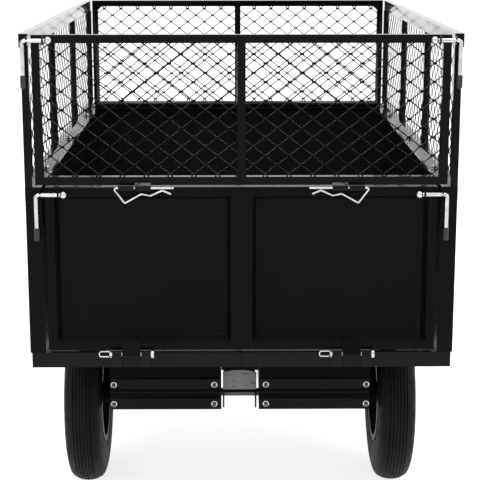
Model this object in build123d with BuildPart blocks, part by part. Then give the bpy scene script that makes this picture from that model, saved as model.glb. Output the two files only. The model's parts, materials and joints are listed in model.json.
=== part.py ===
from build123d import *
import os
from math import hypot

# Lawn tractor dump trailer: a sheet steel bed with mesh sides, tipping on the axle of a
# two-wheeled drawbar, with a drop tailgate, a folding mesh gate and a folding parking stand.
#
# Millimetres. +X is the trailer's right, +Y points forward to the hitch, +Z is up. The origin
# is on the ground under the middle of the trailer's plan. Lengths called "ahead" are measured
# forward from the rear face of the bed.

os.makedirs("parts", exist_ok=True)

# ------------------------------------------------------------------ driving dimensions

# Wheels
WHEEL_DIAMETER = 400
TYRE_WIDTH = 84
TYRE_TO_CARRIER = 19
TYRE_WALL = 8
TREAD_THICKNESS = 11
RIM_RADIUS = 102
RIM_SHEET = 3
RIM_FLANGE_HEIGHT = 10
HUB_RADIUS = 24
HUB_SETBACK = 12
COLLAR_LENGTH = 6
COLLAR_RADIUS = 16
AXLE_RADIUS = 9
AXLE_SETBACK = 2

# Bed
BED_LENGTH = 1200
BED_WIDTH = 800
FLOOR_INSET = 3
FLOOR_FLANGE = 29
FLOOR_SEAM = 0.6
WALL_HEIGHT = 319
WALL_FLANGE = 30
FRONT_CORNER_FLANGE = 20
SHEET = 2
WHEEL_TO_BED = 33
AXLE_BEHIND_BED_MIDDLE = 60

# Mesh panels
MESH_HEIGHT = 281
SIDE_TUBE = 14
TOP_RAIL_HEIGHT = 25
TOP_RAIL_OUTSET = 3
GATE_TUBE = 15
GATE_DEPTH = 16
GATE_BELOW_TOP = 2
FRONT_MESH_GAP = 3
FRONT_GUSSET = 30
TUBE_WALL = 1.5
DIAMOND_WIDTH = 44
DIAMOND_HEIGHT = 34
STRAND = 2
MESH_SHEET = 1
SIDE_BAYS = 3
END_BAYS = 2

# Tailgate
TAILGATE_DEPTH = 28
TAILGATE_BORDER = 17
TAILGATE_RIB = 40
TAILGATE_TAPER = 15

# Hinges
KNUCKLE_RADIUS = 6
HINGE_PIN_RADIUS = 4
LOWER_HINGE_X = 208
LOWER_HINGE_OUT = 9
LOWER_EYE_MIDDLE = 35
LOWER_EYE_OUTER = 18
LOWER_LEAF = 18
GATE_HINGE_X = 197
GATE_HINGE_OUT = 12
GATE_HINGE_BELOW_EDGE = 4
GATE_EYE = 29
UPPER_LEAF = 7
GATE_LEAF = 4
LEAF_MARGIN = 2
PIN_HEAD_LENGTH = 5
HAIRPIN_WIRE = 1.3
HAIRPIN_HALF_WIDTH = 5
HAIRPIN_LENGTH = 22
GATE_CLIP_RADIUS = 2
GATE_CLIP_BEND_RADIUS = 2.5
GATE_CLIP_NOSE = 9
GATE_CLIP_BARE_END = 42
GATE_CLIP_LOOP = 28
GATE_CLIP_CREST = 10.5
GATE_CLIP_TROUGH = 14
GATE_CLIP_TAIL = 11

# Latches
LATCH_ROD_RADIUS = 4
LATCH_BALL_RADIUS = 7
LATCH_BEND_RADIUS = 5
LATCH_OUT = 10
LATCH_EAR_RADIUS = 8
LATCH_EAR_SHEET = 3
LATCH_DROP = 62
LATCH_GRIP_RADIUS = 5.5
LATCH_GRIP_LENGTH = 25
LATCH_GRIP_FLOOR = 3
LATCH_BALL_GAP = 1
TAILGATE_EAR_INSET = 27
KEEPER_INSET = 1.5
GATE_EAR_INSET = 22.7
LOWER_LATCH_BELOW_TOP = 13
UPPER_LATCH_BELOW_TOP = 12
POST_BRACKET_HEIGHT = 26

# Axle carriers under the bed
CARRIER_INSIDE_BED = 115
CARRIER_PLATE = 4
CARRIER_HALF_LENGTH = 160
CARRIER_BOSS_RADIUS = 22
CROSS_PLATE_TO_DRAWBAR = 6
CROSS_PLATE_ABOVE_AXLE = 14
LOWER_RIDGE = (2, 24)
UPPER_RIDGE = (52, 67)
RIDGE_DEPTH = 3
RIDGE_END = 28

# Pivot bracket and drawbar
DRAWBAR_WIDTH = 70
DRAWBAR_HEIGHT = 40
DRAWBAR_WALL = 3
DRAWBAR_BEND_RADIUS = 80
BRACKET_SHEET = 3.5
BRACKET_HEIGHT = 40
BRACKET_ABOVE_AXLE = 14
BRACKET_BEHIND_AXLE = 35
BRACKET_WEB_LENGTH = 85
BRACKET_LENGTH = 185
END_PLATE_HEIGHT = 50
END_PLATE_DOME = 6
DRAWBAR_START = 65
DRAWBAR_START_BELOW_AXLE = 5
DRAWBAR_CREST_START = 100
DRAWBAR_CREST_END = 50
DRAWBAR_DESCENT = 270
DRAWBAR_BELOW_BED = 19
HITCH_AHEAD_OF_BED = 540
HITCH_HEIGHT = 320
HITCH_PIN_HOLE_RADIUS = 8.5
HITCH_PLATE = 8
HITCH_NOSE_RADIUS = 25
HITCH_JAW_DEPTH = 50
HITCH_PLATE_OVERLAP = 50

# Bed rest and tilt latch on the drawbar
REST_LENGTH = 36
REST_WIDTH = 60
STRIKER_HALF_WIDTH = 25
STRIKER_RISE = 30
STRIKER_CHEEK = 16
STRIKER_CHEEK_HALF_HEIGHT = 8
STRIKER_BAR_RADIUS = 5
STRIKER_BAR_OUT = 12
STRIKER_BAR_BELOW_FLOOR = 8
LATCH_PLATE = 4
LATCH_FOOT_GAP = 24
LATCH_FOOT_HALF_WIDTH = 20
LATCH_FOOT_HALF_LENGTH = 16
LATCH_CHEEK = 12
LATCH_PIVOT_HEIGHT = 28
LATCH_PIVOT_MARGIN = 10
LEVER_FORWARD = 45
LEVER_RISE = 90
LEVER_BOSS_RADIUS = 12
LEVER_TIP_RADIUS = 9
LEVER_THICKNESS = 8

# Parking stand
STAND_AHEAD_OF_BED = 360
STAND_TUBE_RADIUS = 10
STAND_TUBE_WALL = 2
STAND_BEND_RADIUS = 34
STAND_FOOT_FORWARD = 25
STAND_HEAD = 18
STAND_PIN_RADIUS = 6
STAND_STOP_HEIGHT = 12
STAND_STOP_LENGTH = 8

# Clearances
RUNNING_GAP = 0.05
SEAT_GAP = 0.3
PIN_GAP = 1
SWING_GAP = 5
SLOT_GAP = 0.3
DRAIN_SLOT = 6

# ------------------------------------------------------------------ worked-out places

BED_FRONT_TO_HITCH_TIP = HITCH_AHEAD_OF_BED + HITCH_NOSE_RADIUS
DRAWBAR_HALF = DRAWBAR_WIDTH / 2
BED_HALF = BED_WIDTH / 2
CARRIER_INNER = DRAWBAR_HALF + BRACKET_SHEET + SWING_GAP
CARRIER_OUTER = BED_HALF - CARRIER_INSIDE_BED
CROSS_PLATE_INNER = DRAWBAR_HALF + CROSS_PLATE_TO_DRAWBAR
REAR_REACH = max(GATE_HINGE_OUT + KNUCKLE_RADIUS, LATCH_OUT + LATCH_EAR_RADIUS)
OVERALL_LENGTH = REAR_REACH + BED_LENGTH + BED_FRONT_TO_HITCH_TIP
REAR = REAR_REACH - OVERALL_LENGTH / 2
FRONT = REAR + BED_LENGTH

WHEEL_RADIUS = WHEEL_DIAMETER / 2
AXLE_Z = WHEEL_RADIUS
AXLE_Y = REAR + BED_LENGTH / 2 - AXLE_BEHIND_BED_MIDDLE
TYRE_INNER_FACE = CARRIER_OUTER + TYRE_TO_CARRIER
TYRE_OUTER_FACE = TYRE_INNER_FACE + TYRE_WIDTH
WHEEL_X = (TYRE_INNER_FACE + TYRE_OUTER_FACE) / 2
HUB_INNER = CARRIER_OUTER + COLLAR_LENGTH + 2 * PIN_GAP
HUB_OUTER = TYRE_OUTER_FACE - HUB_SETBACK
AXLE_END = TYRE_OUTER_FACE - AXLE_SETBACK

BED_BOTTOM = WHEEL_DIAMETER + WHEEL_TO_BED
FLOOR_TOP = BED_BOTTOM + FLOOR_FLANGE
WALL_TOP = FLOOR_TOP + WALL_HEIGHT
MESH_TOP = WALL_TOP + MESH_HEIGHT
FLOOR_HALF = BED_HALF - FLOOR_INSET
WALL_INNER = BED_HALF - WALL_FLANGE

TAILGATE_HALF = WALL_INNER - SWING_GAP
TAILGATE_BOTTOM = FLOOR_TOP + SWING_GAP
TAILGATE_TOP = WALL_TOP - PIN_GAP
SIDE_TUBE_INNER = BED_HALF - SIDE_TUBE
TOP_RAIL_OUTER = BED_HALF + TOP_RAIL_OUTSET
GATE_HALF = SIDE_TUBE_INNER - SWING_GAP - SLOT_GAP
GATE_BOTTOM = TAILGATE_TOP + SWING_GAP
GATE_TOP = MESH_TOP - GATE_BELOW_TOP
FRONT_MESH_HALF = SIDE_TUBE_INNER - FRONT_MESH_GAP

LOWER_HINGE_Y = REAR - LOWER_HINGE_OUT
LOWER_HINGE_Z = FLOOR_TOP
GATE_HINGE_Y = REAR - GATE_HINGE_OUT
GATE_HINGE_Z = GATE_BOTTOM - GATE_HINGE_BELOW_EDGE
LATCH_Y = REAR - LATCH_OUT
LOWER_LATCH_Z = WALL_TOP - LOWER_LATCH_BELOW_TOP
UPPER_LATCH_Z = MESH_TOP - UPPER_LATCH_BELOW_TOP

CARRIER_TOP = FLOOR_TOP - SHEET
CARRIER_BOTTOM = AXLE_Z + CROSS_PLATE_ABOVE_AXLE

HITCH_Y = FRONT + HITCH_AHEAD_OF_BED
CREST_Z = BED_BOTTOM - DRAWBAR_BELOW_BED - DRAWBAR_HEIGHT / 2
DRAWBAR_TOP = CREST_Z + DRAWBAR_HEIGHT / 2
JAW_BACK = HITCH_Y - HITCH_JAW_DEPTH
STAND_Y = FRONT + STAND_AHEAD_OF_BED
STAND_X = DRAWBAR_HALF + SWING_GAP + STAND_TUBE_RADIUS

SIDES = (("left", -1), ("right", 1))

# ------------------------------------------------------------------ shared helpers


def block(x_limits, y_limits, z_limits, mode=Mode.ADD):
    """Adds a box, given by its limits, to the part being built."""
    limits = (x_limits, y_limits, z_limits)
    with Locations(tuple((a + b) / 2 for a, b in limits)):
        Box(*(abs(b - a) for a, b in limits), mode=mode)


def save(part, name):
    part.label = name
    export_step(part, f"parts/{name}.step")


def save_pair(right_part, name):
    """Saves a part of the right side, and its mirror image as the left one."""
    save(right_part, f"{name}_right")
    with BuildPart() as left:
        mirror(right_part, about=Plane.YZ)
    save(left.part, f"{name}_left")


def both_sides(right_part):
    """Returns a part of the right side together with its mirror image."""
    with BuildPart() as pair:
        add(right_part)
        mirror(right_part, about=Plane.YZ)
    return pair.part


def across(x, y, z):
    """A plane whose normal is +X, with its local x along +Y and local y up."""
    return Plane(origin=(x, y, z), x_dir=(0, 1, 0), z_dir=(1, 0, 0))


def facing_rear(x, y, z):
    """A plane whose normal is -Y, with its local x along +X and local y up."""
    return Plane(origin=(x, y, z), x_dir=(1, 0, 0), z_dir=(0, -1, 0))


# ------------------------------------------------------------------ floor and walls

# Two inverted trays, flange to flange along the middle; their rear flanges are the rear beam.
with BuildPart() as floor_half:
    block((FLOOR_SEAM / 2, FLOOR_HALF), (REAR, FRONT), (BED_BOTTOM, FLOOR_TOP))
    block(
        (FLOOR_SEAM / 2 + SHEET, FLOOR_HALF - SHEET),
        (REAR + SHEET, FRONT - SHEET),
        (BED_BOTTOM, FLOOR_TOP - SHEET),
        mode=Mode.SUBTRACT,
    )
save_pair(floor_half.part, "floor")

# A channel open to the inside: skin, top and bottom flanges, rear post and front flange.
with BuildPart() as side_panel:
    block((WALL_INNER, BED_HALF), (REAR, FRONT), (FLOOR_TOP, WALL_TOP))
    block(
        (WALL_INNER, BED_HALF - SHEET),
        (REAR + SHEET, FRONT - SHEET),
        (FLOOR_TOP + SHEET, WALL_TOP - SHEET),
        mode=Mode.SUBTRACT,
    )
    block(
        (WALL_INNER, BED_HALF - FRONT_CORNER_FLANGE),
        (FRONT - SHEET, FRONT),
        (FLOOR_TOP, WALL_TOP),
        mode=Mode.SUBTRACT,
    )
save_pair(side_panel.part, "side_panel")

with BuildPart() as front_panel:
    block(
        (SHEET - BED_HALF, BED_HALF - SHEET),
        (FRONT - 2 * SHEET, FRONT - SHEET),
        (FLOOR_TOP + SHEET, WALL_TOP - SHEET),
    )
    for low in (FLOOR_TOP, WALL_TOP - SHEET):
        block(
            (-WALL_INNER, WALL_INNER),
            (FRONT - SHEET - WALL_FLANGE, FRONT - SHEET),
            (low, low + SHEET),
        )
save(front_panel.part, "front_panel")

# ------------------------------------------------------------------ mesh panels


def bay_rectangles(width, height, tube, bays, grow, mode):
    """Draws the clear openings between the tubes of a panel, each grown by the same amount."""
    pitch = (width - tube) / bays
    middles = [(pitch * (i - (bays - 1) / 2), height / 2) for i in range(bays)]
    with Locations(*middles):
        Rectangle(pitch - tube + 2 * grow, height - 2 * tube + 2 * grow, mode=mode)


def add_tube_frame(plane, width, height, tube, depth, bays):
    """Adds a panel's frame of hollow tube, with a drain slot under each half."""
    back = plane.offset(-depth / 2)
    with BuildSketch(back) as outside:
        with Locations((0, height / 2)):
            Rectangle(width, height)
        bay_rectangles(width, height, tube, bays, 0, Mode.SUBTRACT)
    extrude(outside.sketch, amount=depth)
    with BuildSketch(back.offset(TUBE_WALL)) as inside:
        with Locations((0, height / 2)):
            Rectangle(width - 2 * TUBE_WALL, height - 2 * TUBE_WALL)
        bay_rectangles(width, height, tube, bays, TUBE_WALL, Mode.SUBTRACT)
    extrude(inside.sketch, amount=depth - 2 * TUBE_WALL, mode=Mode.SUBTRACT)
    with BuildSketch(plane.offset(-DRAIN_SLOT / 2)) as drains:
        with Locations((width / 4, TUBE_WALL / 2), (-width / 4, TUBE_WALL / 2)):
            Rectangle(DRAIN_SLOT, TUBE_WALL)
    extrude(drains.sketch, amount=DRAIN_SLOT, mode=Mode.SUBTRACT)


def add_expanded_metal(plane, width, height, tube, bays):
    """Adds a sheet of diamond mesh across each bay of a frame, let into its tubes' walls."""
    strand_share = STRAND * hypot(DIAMOND_WIDTH, DIAMOND_HEIGHT) / (DIAMOND_WIDTH * DIAMOND_HEIGHT)
    hole_x = DIAMOND_WIDTH / 2 * (1 - strand_share)
    hole_y = DIAMOND_HEIGHT / 2 * (1 - strand_share)
    columns = 2 * int(width / DIAMOND_WIDTH / 2) + 3
    rows = 2 * int(height / DIAMOND_HEIGHT / 2) + 3
    with BuildSketch(plane.offset(-MESH_SHEET / 2)) as sheet:
        bay_rectangles(width, height, tube, bays, TUBE_WALL / 2, Mode.ADD)
        for shift in (0, 0.5):
            with Locations((shift * DIAMOND_WIDTH, height / 2 + shift * DIAMOND_HEIGHT)):
                with GridLocations(DIAMOND_WIDTH, DIAMOND_HEIGHT, columns, rows):
                    Polygon(
                        (-hole_x, 0),
                        (0, -hole_y),
                        (hole_x, 0),
                        (0, hole_y),
                        align=None,
                        mode=Mode.SUBTRACT,
                    )
    extrude(sheet.sketch, amount=MESH_SHEET)


def latch_ear(x, z, slotted):
    """A welded ear with a hole for a latch rod, or with a slot open to the rear."""
    nose = REAR - LATCH_OUT
    with BuildPart() as ear:
        with BuildSketch(across(x, nose, z)):
            with Locations((0, 0)):
                Circle(LATCH_EAR_RADIUS)
            with Locations((LATCH_OUT - PIN_GAP / 2, 0)):
                Rectangle(PIN_GAP, 2 * LATCH_EAR_RADIUS)
            make_hull()
            hole = LATCH_ROD_RADIUS + SLOT_GAP
            Circle(hole, mode=Mode.SUBTRACT)
            if slotted:
                with Locations((-LATCH_EAR_RADIUS, 0)):
                    Rectangle(2 * LATCH_EAR_RADIUS, 2 * hole, mode=Mode.SUBTRACT)
        extrude(amount=LATCH_EAR_SHEET / 2, both=True)
    return ear.part


side_plane = across((BED_HALF + SIDE_TUBE_INNER) / 2, (REAR + FRONT) / 2, WALL_TOP)
with BuildPart() as side_mesh_panel:
    add_tube_frame(side_plane, BED_LENGTH, MESH_HEIGHT, SIDE_TUBE, SIDE_TUBE, SIDE_BAYS)
    block(
        (SIDE_TUBE_INNER, TOP_RAIL_OUTER),
        (REAR, FRONT),
        (MESH_TOP - TOP_RAIL_HEIGHT, MESH_TOP),
    )
    block(
        (SIDE_TUBE_INNER + TUBE_WALL, TOP_RAIL_OUTER - TUBE_WALL),
        (REAR + TUBE_WALL, FRONT),
        (MESH_TOP - TOP_RAIL_HEIGHT + TUBE_WALL, MESH_TOP - TUBE_WALL),
        mode=Mode.SUBTRACT,
    )
    add_expanded_metal(side_plane, BED_LENGTH, MESH_HEIGHT, SIDE_TUBE, SIDE_BAYS)
save_pair(side_mesh_panel.part, "side_mesh_panel")

# The front panel fits between the side panels, with a small gusset in each top corner.
front_mesh_width = 2 * FRONT_MESH_HALF
front_plane = facing_rear(0, FRONT - GATE_DEPTH / 2, WALL_TOP)
with BuildPart() as front_mesh_panel:
    add_tube_frame(front_plane, front_mesh_width, MESH_HEIGHT, GATE_TUBE, GATE_DEPTH, END_BAYS)
    with BuildSketch(front_plane.offset(MESH_SHEET / 2)):
        for _, side in SIDES:
            corner = side * (FRONT_MESH_HALF - GATE_TUBE)
            top = MESH_HEIGHT - GATE_TUBE
            with BuildLine():
                Polyline(
                    (corner, top),
                    (corner - side * FRONT_GUSSET, top),
                    (corner, top - FRONT_GUSSET),
                    close=True,
                )
            make_face()
    extrude(amount=SHEET)
    add_expanded_metal(front_plane, front_mesh_width, MESH_HEIGHT, GATE_TUBE, END_BAYS)
save(front_mesh_panel.part, "front_mesh_panel")

# ------------------------------------------------------------------ hinge eyes


def hinge_eye(x_limits, axis_y, axis_z, leaf_limits, bore_radius):
    """An eye about a pin along X, drawn out to a leaf that lies on the rear face."""
    x_low, x_high = x_limits
    leaf_low, leaf_high = leaf_limits
    with BuildPart() as eye:
        with BuildSketch(across((x_low + x_high) / 2, axis_y, axis_z)):
            Circle(KNUCKLE_RADIUS)
            with Locations((REAR - SHEET - axis_y, (leaf_low + leaf_high) / 2 - axis_z)):
                Rectangle(2 * SHEET, leaf_high - leaf_low)
            make_hull()
            Circle(bore_radius, mode=Mode.SUBTRACT)
        extrude(amount=abs(x_high - x_low) / 2, both=True)
    return eye.part


lower_middle = (LOWER_HINGE_X - LOWER_EYE_MIDDLE / 2, LOWER_HINGE_X + LOWER_EYE_MIDDLE / 2)
lower_inner = (lower_middle[0] - PIN_GAP - LOWER_EYE_OUTER, lower_middle[0] - PIN_GAP)
lower_outer = (lower_middle[1] + PIN_GAP, lower_middle[1] + PIN_GAP + LOWER_EYE_OUTER)
lower_bore = HINGE_PIN_RADIUS + RUNNING_GAP

with BuildPart() as bed_eyes:
    for limits in (lower_inner, lower_outer):
        leaf = (BED_BOTTOM + SHEET, LOWER_HINGE_Z - KNUCKLE_RADIUS / 2)
        add(hinge_eye(limits, LOWER_HINGE_Y, LOWER_HINGE_Z, leaf, lower_bore))
save(both_sides(bed_eyes.part), "bed_hinge_eyes")

with BuildPart() as tailgate_lower_eye:
    leaf = (TAILGATE_BOTTOM + LEAF_MARGIN, TAILGATE_BOTTOM + LEAF_MARGIN + LOWER_LEAF)
    add(hinge_eye(lower_middle, LOWER_HINGE_Y, LOWER_HINGE_Z, leaf, lower_bore))
save(both_sides(tailgate_lower_eye.part), "tailgate_lower_eyes")

gate_bore = GATE_CLIP_RADIUS + RUNNING_GAP
tailgate_side_eye = (GATE_HINGE_X + PIN_GAP, GATE_HINGE_X + PIN_GAP + GATE_EYE)
gate_side_eye = (GATE_HINGE_X - PIN_GAP - GATE_EYE, GATE_HINGE_X - PIN_GAP)

with BuildPart() as tailgate_upper_eye:
    leaf = (TAILGATE_TOP - LEAF_MARGIN - UPPER_LEAF, TAILGATE_TOP - LEAF_MARGIN)
    add(hinge_eye(tailgate_side_eye, GATE_HINGE_Y, GATE_HINGE_Z, leaf, gate_bore))
save(both_sides(tailgate_upper_eye.part), "tailgate_upper_eyes")

with BuildPart() as mesh_gate_eye:
    leaf = (GATE_BOTTOM + LEAF_MARGIN, GATE_BOTTOM + LEAF_MARGIN + GATE_LEAF)
    add(hinge_eye(gate_side_eye, GATE_HINGE_Y, GATE_HINGE_Z, leaf, gate_bore))
save(both_sides(mesh_gate_eye.part), "mesh_gate_eyes")

# ------------------------------------------------------------------ hinge pins and clips

# Each tailgate hinge pin has its head to the right and a hairpin clip in its left end.
hairpin_gap = 2 * HAIRPIN_WIRE + PIN_GAP
with BuildPart() as tailgate_hinge_pins:
    for _, side in SIDES:
        ends = sorted((side * lower_inner[0], side * lower_outer[1]))
        head = ends[1] + PIN_GAP
        tail = ends[0] - 3 * HAIRPIN_WIRE - PIN_GAP
        with BuildSketch(across(tail, LOWER_HINGE_Y, LOWER_HINGE_Z)):
            Circle(HINGE_PIN_RADIUS)
        extrude(amount=head - tail)
        with BuildSketch(across(head, LOWER_HINGE_Y, LOWER_HINGE_Z)):
            Circle(2 * HINGE_PIN_RADIUS)
        extrude(amount=PIN_HEAD_LENGTH)
        cross = tail + 2 * HAIRPIN_WIRE
        with BuildLine(facing_rear(cross, LOWER_HINGE_Y, LOWER_HINGE_Z)) as hairpin:
            FilletPolyline(
                (0, -HAIRPIN_HALF_WIDTH - LEAF_MARGIN),
                (0, HAIRPIN_HALF_WIDTH),
                (-HAIRPIN_LENGTH, HAIRPIN_HALF_WIDTH),
                (-HAIRPIN_LENGTH, -HAIRPIN_HALF_WIDTH),
                (-hairpin_gap, -HAIRPIN_HALF_WIDTH),
                radius=0.9 * HAIRPIN_HALF_WIDTH,
            )
        with BuildSketch(Plane(origin=hairpin.line @ 0, z_dir=hairpin.line % 0)):
            Circle(HAIRPIN_WIRE)
        sweep(path=hairpin.line)
save(tailgate_hinge_pins.part, "tailgate_hinge_pins")

# Each gate hinge clip is one wire: a straight leg through both eyes and a waved leg below.
clip_end = tailgate_side_eye[1] + GATE_CLIP_NOSE
clip_tip = gate_side_eye[0] - GATE_CLIP_BARE_END
wave = (
    (tailgate_side_eye[1] - 0.4 * GATE_EYE, -GATE_CLIP_LOOP),
    (gate_side_eye[1] - 0.4 * GATE_EYE, -GATE_CLIP_CREST),
    (gate_side_eye[0] + PIN_GAP, -GATE_CLIP_TROUGH),
    (gate_side_eye[0] - 0.5 * GATE_CLIP_BARE_END, -2 * GATE_CLIP_RADIUS - SEAT_GAP),
    (gate_side_eye[0] - 0.88 * GATE_CLIP_BARE_END, -GATE_CLIP_TAIL),
)
with BuildPart() as gate_hinge_clip:
    with BuildLine(facing_rear(0, GATE_HINGE_Y, GATE_HINGE_Z)) as clip_wire:
        FilletPolyline((clip_tip, 0), (clip_end, 0), *wave, radius=GATE_CLIP_BEND_RADIUS)
    with BuildSketch(Plane(origin=clip_wire.line @ 0, z_dir=clip_wire.line % 0)):
        Circle(GATE_CLIP_RADIUS)
    sweep(path=clip_wire.line)
save(both_sides(gate_hinge_clip.part), "gate_hinge_clips")

# ------------------------------------------------------------------ tailgate

border_inner_x = TAILGATE_HALF - TAILGATE_BORDER
full_height = TAILGATE_TOP - TAILGATE_BOTTOM
tailgate_middle_z = (TAILGATE_BOTTOM + TAILGATE_TOP) / 2
with BuildPart() as tailgate:
    block((-TAILGATE_HALF, TAILGATE_HALF), (REAR, REAR + TAILGATE_DEPTH), (TAILGATE_BOTTOM, TAILGATE_TOP))
    # Two pressed recesses with sloping sides, either side of a rib.
    recess_x = (border_inner_x + TAILGATE_RIB / 2) / 2
    recess_size = (border_inner_x - TAILGATE_RIB / 2, full_height - 2 * TAILGATE_BORDER)
    for _, side in SIDES:
        with BuildSketch(facing_rear(side * recess_x, REAR, tailgate_middle_z)) as recess:
            Rectangle(*recess_size)
        extrude(
            recess.sketch,
            amount=SHEET - TAILGATE_DEPTH,
            taper=TAILGATE_TAPER,
            mode=Mode.SUBTRACT,
        )
    # The border and rib are hollow, and drain through two slots in the bottom edge.
    with BuildSketch(facing_rear(0, REAR + SHEET, tailgate_middle_z)):
        Rectangle(2 * TAILGATE_HALF - 2 * SHEET, full_height - 2 * SHEET)
        with Locations((-recess_x, 0), (recess_x, 0)):
            Rectangle(*(length + 2 * SHEET for length in recess_size), mode=Mode.SUBTRACT)
    extrude(amount=-(TAILGATE_DEPTH - 2 * SHEET), mode=Mode.SUBTRACT)
    for _, side in SIDES:
        block(
            (side * TAILGATE_HALF / 2, side * TAILGATE_HALF / 2 + 2 * DRAIN_SLOT),
            (REAR + TAILGATE_DEPTH / 2, REAR + TAILGATE_DEPTH / 2 + DRAIN_SLOT),
            (TAILGATE_BOTTOM, TAILGATE_BOTTOM + SHEET),
            mode=Mode.SUBTRACT,
        )
save(tailgate.part, "tailgate_panel")

# ------------------------------------------------------------------ mesh gate

gate_plane = facing_rear(0, REAR + GATE_DEPTH / 2, GATE_BOTTOM)
gate_height = GATE_TOP - GATE_BOTTOM
with BuildPart() as mesh_gate:
    add_tube_frame(gate_plane, 2 * GATE_HALF, gate_height, GATE_TUBE, GATE_DEPTH, END_BAYS)
    add_expanded_metal(gate_plane, 2 * GATE_HALF, gate_height, GATE_TUBE, END_BAYS)
save(mesh_gate.part, "mesh_gate_panel")

# ------------------------------------------------------------------ latches

TAILGATE_EAR_X = TAILGATE_HALF - TAILGATE_EAR_INSET
POST_EAR_X = WALL_INNER + KEEPER_INSET
UPPER_KEEPER_X = SIDE_TUBE_INNER + KEEPER_INSET
GATE_EAR_X = GATE_HALF - GATE_EAR_INSET


def latch_rod(side, ball_x, handle_x, z):
    """An L-shaped rod: a ball at its inner end, a straight shaft and a hanging handle."""
    end = z - LATCH_DROP - LATCH_GRIP_LENGTH + LATCH_GRIP_FLOOR
    with BuildPart() as rod:
        with BuildLine(facing_rear(0, LATCH_Y, 0)) as bent:
            FilletPolyline(
                (side * ball_x, z),
                (side * handle_x, z),
                (side * handle_x, end),
                radius=LATCH_BEND_RADIUS,
            )
        with BuildSketch(Plane(origin=bent.line @ 0, z_dir=bent.line % 0)):
            Circle(LATCH_ROD_RADIUS)
        sweep(path=bent.line)
        with BuildSketch(facing_rear(side * ball_x, LATCH_Y, z)):
            Circle(LATCH_BALL_RADIUS)
            with Locations((0, -LATCH_BALL_RADIUS)):
                Rectangle(2 * LATCH_BALL_RADIUS, 2 * LATCH_BALL_RADIUS, mode=Mode.SUBTRACT)
        revolve(axis=Axis((side * ball_x, LATCH_Y, z), (1, 0, 0)))
    return rod.part


def latch_grip(handle_x, z):
    """A rubber grip, closed at the bottom, over the end of a latch rod's handle."""
    bottom = z - LATCH_DROP - LATCH_GRIP_LENGTH
    with BuildPart() as grip:
        with BuildSketch(Plane.XY.offset(bottom)):
            with Locations((handle_x, LATCH_Y)):
                Circle(LATCH_GRIP_RADIUS)
        extrude(amount=LATCH_GRIP_LENGTH)
        with BuildSketch(Plane.XY.offset(bottom + LATCH_GRIP_FLOOR)):
            with Locations((handle_x, LATCH_Y)):
                Circle(LATCH_ROD_RADIUS + 2 * RUNNING_GAP)
        extrude(amount=LATCH_GRIP_LENGTH, mode=Mode.SUBTRACT)
    return grip.part


for gate, own_ear_x, keeper_x, latch_z in (
    ("tailgate", TAILGATE_EAR_X, POST_EAR_X, LOWER_LATCH_Z),
    ("mesh_gate", GATE_EAR_X, UPPER_KEEPER_X, UPPER_LATCH_Z),
):
    ball_x = own_ear_x - LATCH_EAR_SHEET / 2 - LATCH_BALL_GAP - LATCH_BALL_RADIUS
    handle_x = keeper_x + LATCH_EAR_SHEET / 2 + PIN_GAP + LATCH_BEND_RADIUS
    with BuildPart() as latch_rods:
        for _, side in SIDES:
            add(latch_rod(side, ball_x, handle_x, latch_z))
    save(latch_rods.part, f"{gate}_latch_rods")
    save(both_sides(latch_grip(handle_x, latch_z)), f"{gate}_latch_grips")
    save(both_sides(latch_ear(own_ear_x, latch_z, slotted=False)), f"{gate}_latch_ears")

# A plate capping each rear post, with the slotted ear that keeps the tailgate's rod.
with BuildPart() as post_bracket:
    block((WALL_INNER, BED_HALF), (REAR - SHEET, REAR), (WALL_TOP - POST_BRACKET_HEIGHT, WALL_TOP))
    add(latch_ear(POST_EAR_X, LOWER_LATCH_Z, slotted=True))
save(both_sides(post_bracket.part), "post_latch_brackets")
save(both_sides(latch_ear(UPPER_KEEPER_X, UPPER_LATCH_Z, slotted=True)), "side_frame_latch_ears")

# ------------------------------------------------------------------ axle carriers

for place, plate_x in (("inner", CARRIER_INNER), ("outer", CARRIER_OUTER - CARRIER_PLATE)):
    with BuildPart() as axle_plate:
        with BuildSketch(across(plate_x, AXLE_Y, AXLE_Z)):
            Circle(CARRIER_BOSS_RADIUS)
            top = CARRIER_TOP - AXLE_Z
            with Locations((0, (CROSS_PLATE_ABOVE_AXLE + top) / 2)):
                Rectangle(2 * CARRIER_HALF_LENGTH - 2 * CARRIER_PLATE, top - CROSS_PLATE_ABOVE_AXLE)
            make_hull()
            Circle(AXLE_RADIUS + RUNNING_GAP, mode=Mode.SUBTRACT)
        extrude(amount=CARRIER_PLATE)
    save_pair(axle_plate.part, f"axle_plate_{place}")

for place, way in (("rear", -1), ("front", 1)):
    outer_face = AXLE_Y + way * CARRIER_HALF_LENGTH
    with BuildPart() as cross_plate:
        block(
            (CROSS_PLATE_INNER, CARRIER_OUTER),
            (outer_face - way * CARRIER_PLATE, outer_face),
            (CARRIER_BOTTOM, CARRIER_TOP),
        )
        for ridge_low, ridge_high in (LOWER_RIDGE, UPPER_RIDGE):
            block(
                (CROSS_PLATE_INNER + RIDGE_END, CARRIER_OUTER - RIDGE_END),
                (outer_face, outer_face + way * RIDGE_DEPTH),
                (CARRIER_BOTTOM + ridge_low, CARRIER_BOTTOM + ridge_high),
            )
    save_pair(cross_plate.part, f"cross_plate_{place}")

# ------------------------------------------------------------------ wheels and axle


def wheel_plane(side):
    return facing_rear(side * WHEEL_X, AXLE_Y, AXLE_Z)


def wheel_axis(side):
    return Axis((side * WHEEL_X, AXLE_Y, AXLE_Z), (1, 0, 0))


def mirrored(points):
    """Runs a half outline, given up to the middle, on down its other side."""
    return points + [(-x, y) for x, y in reversed(points[:-1])]


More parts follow.
